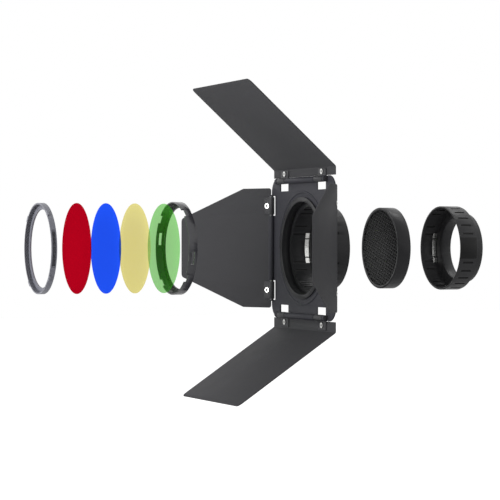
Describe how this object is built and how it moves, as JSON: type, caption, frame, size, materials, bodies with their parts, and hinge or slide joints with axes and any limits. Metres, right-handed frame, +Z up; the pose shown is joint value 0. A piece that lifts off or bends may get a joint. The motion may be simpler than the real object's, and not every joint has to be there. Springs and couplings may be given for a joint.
{
  "type": "barn door attachment",
  "caption": "Four-leaf barn door on a rotating square plate and round mount barrel, with lamp adapter, honeycomb grid, gel holder and dyed gels, laid out along its light axis.",
  "frame": {"origin": "on the light axis, at the back end of the adapter's lamp spigot", "axes": "+Y back towards the lamp, -Y out with the light, +Z up, +X to the side"},
  "size_m": [0.3964, 0.5162, 0.3478],
  "materials": {
    "black_anodised": "satin black anodised",
    "leaf_paint": "fine matt black powder coat",
    "plate_paint": "satin black powder coat",
    "black_plastic": "moulded black, fine grain",
    "ring_plastic": "moulded dark grey",
    "spring_steel": "bright spring strip",
    "screw_steel": "blackened steel",
    "rivet_steel": "bright rolled rivet",
    "rod_steel": "dark drawn wire",
    "gel_red": "dyed clear sheet",
    "gel_blue": "dyed clear sheet",
    "gel_yellow": "dyed clear sheet",
    "gel_green": "dyed clear sheet"
  },
  "bodies": {
    "adapter": {"adapter_ring": "black_plastic", "adapter_springs": "spring_steel"},
    "honeycomb": {"honeycomb_rim": "black_anodised", "honeycomb_core": "black_anodised"},
    "mount": {"mount_head": "black_plastic", "mount_barrel": "black_plastic", "mount_springs": "spring_steel", "plate_retainer": "black_anodised", "retainer_screws": "screw_steel"},
    "plate": {"door_plate": "plate_paint", "hinge_rod_top": "rod_steel", "hinge_rod_bottom": "rod_steel", "hinge_rod_left": "rod_steel", "hinge_rod_right": "rod_steel"},
    "holder": {"gel_holder": "black_plastic"},
    "lock": {"lock_ring": "ring_plastic"},
    "leaf_top": {"leaf_top": "leaf_paint", "straps_top": "plate_paint", "rivets_top": "rivet_steel"},
    "leaf_bottom": {"leaf_bottom": "leaf_paint", "straps_bottom": "plate_paint", "rivets_bottom": "rivet_steel"},
    "leaf_left": {"leaf_left": "leaf_paint", "straps_left": "plate_paint", "rivets_left": "rivet_steel"},
    "leaf_right": {"leaf_right": "leaf_paint", "straps_right": "plate_paint", "rivets_right": "rivet_steel"},
    "gel_green": {"gel_green": "gel_green"},
    "gel_yellow": {"gel_yellow": "gel_yellow"},
    "gel_blue": {"gel_blue": "gel_blue"},
    "gel_red": {"gel_red": "gel_red"}
  },
  "joints": [
    {"name": "honeycomb_slide", "type": "slide", "parent": "adapter", "child": "honeycomb", "axis": [0, 1, 0], "range_m": [0, 0.0833]},
    {"name": "door_slide", "type": "slide", "parent": "honeycomb", "child": "mount", "axis": [0, 1, 0], "range_m": [0, 0.0595]},
    {"name": "door_rotation", "type": "hinge", "parent": "mount", "child": "plate", "pos_m": [0, -0.2075, 0], "axis": [0, 1, 0], "continuous": true},
    {"name": "top_leaf_hinge", "type": "hinge", "parent": "plate", "child": "leaf_top", "pos_m": [0, -0.21015, 0.076], "axis": [1, 0, 0], "range_deg": [-50, 131.5]},
    {"name": "bottom_leaf_hinge", "type": "hinge", "parent": "plate", "child": "leaf_bottom", "pos_m": [0, -0.21015, -0.076], "axis": [-1, 0, 0], "range_deg": [-50, 123.5]},
    {"name": "left_leaf_hinge", "type": "hinge", "parent": "plate", "child": "leaf_left", "pos_m": [-0.08, -0.21015, 0], "axis": [0, 0, 1], "range_deg": [-40, 151]},
    {"name": "right_leaf_hinge", "type": "hinge", "parent": "plate", "child": "leaf_right", "pos_m": [0.08, -0.21015, 0], "axis": [0, 0, -1], "range_deg": [-40, 143.5]},
    {"name": "holder_slide", "type": "slide", "parent": "mount", "child": "holder", "axis": [0, 1, 0], "range_m": [0, 0.15434]},
    {"name": "green_gel_slide", "type": "slide", "parent": "holder", "child": "gel_green", "axis": [0, 1, 0], "range_m": [0, 0.0177]},
    {"name": "yellow_gel_slide", "type": "slide", "parent": "gel_green", "child": "gel_yellow", "axis": [0, 1, 0], "range_m": [0, 0.0329]},
    {"name": "blue_gel_slide", "type": "slide", "parent": "gel_yellow", "child": "gel_blue", "axis": [0, 1, 0], "range_m": [0, 0.0324]},
    {"name": "red_gel_slide", "type": "slide", "parent": "gel_blue", "child": "gel_red", "axis": [0, 1, 0], "range_m": [0, 0.0323]},
    {"name": "lock_ring_slide", "type": "slide", "parent": "gel_red", "child": "lock", "axis": [0, 1, 0], "range_m": [0, 0.0367]}
  ]
}
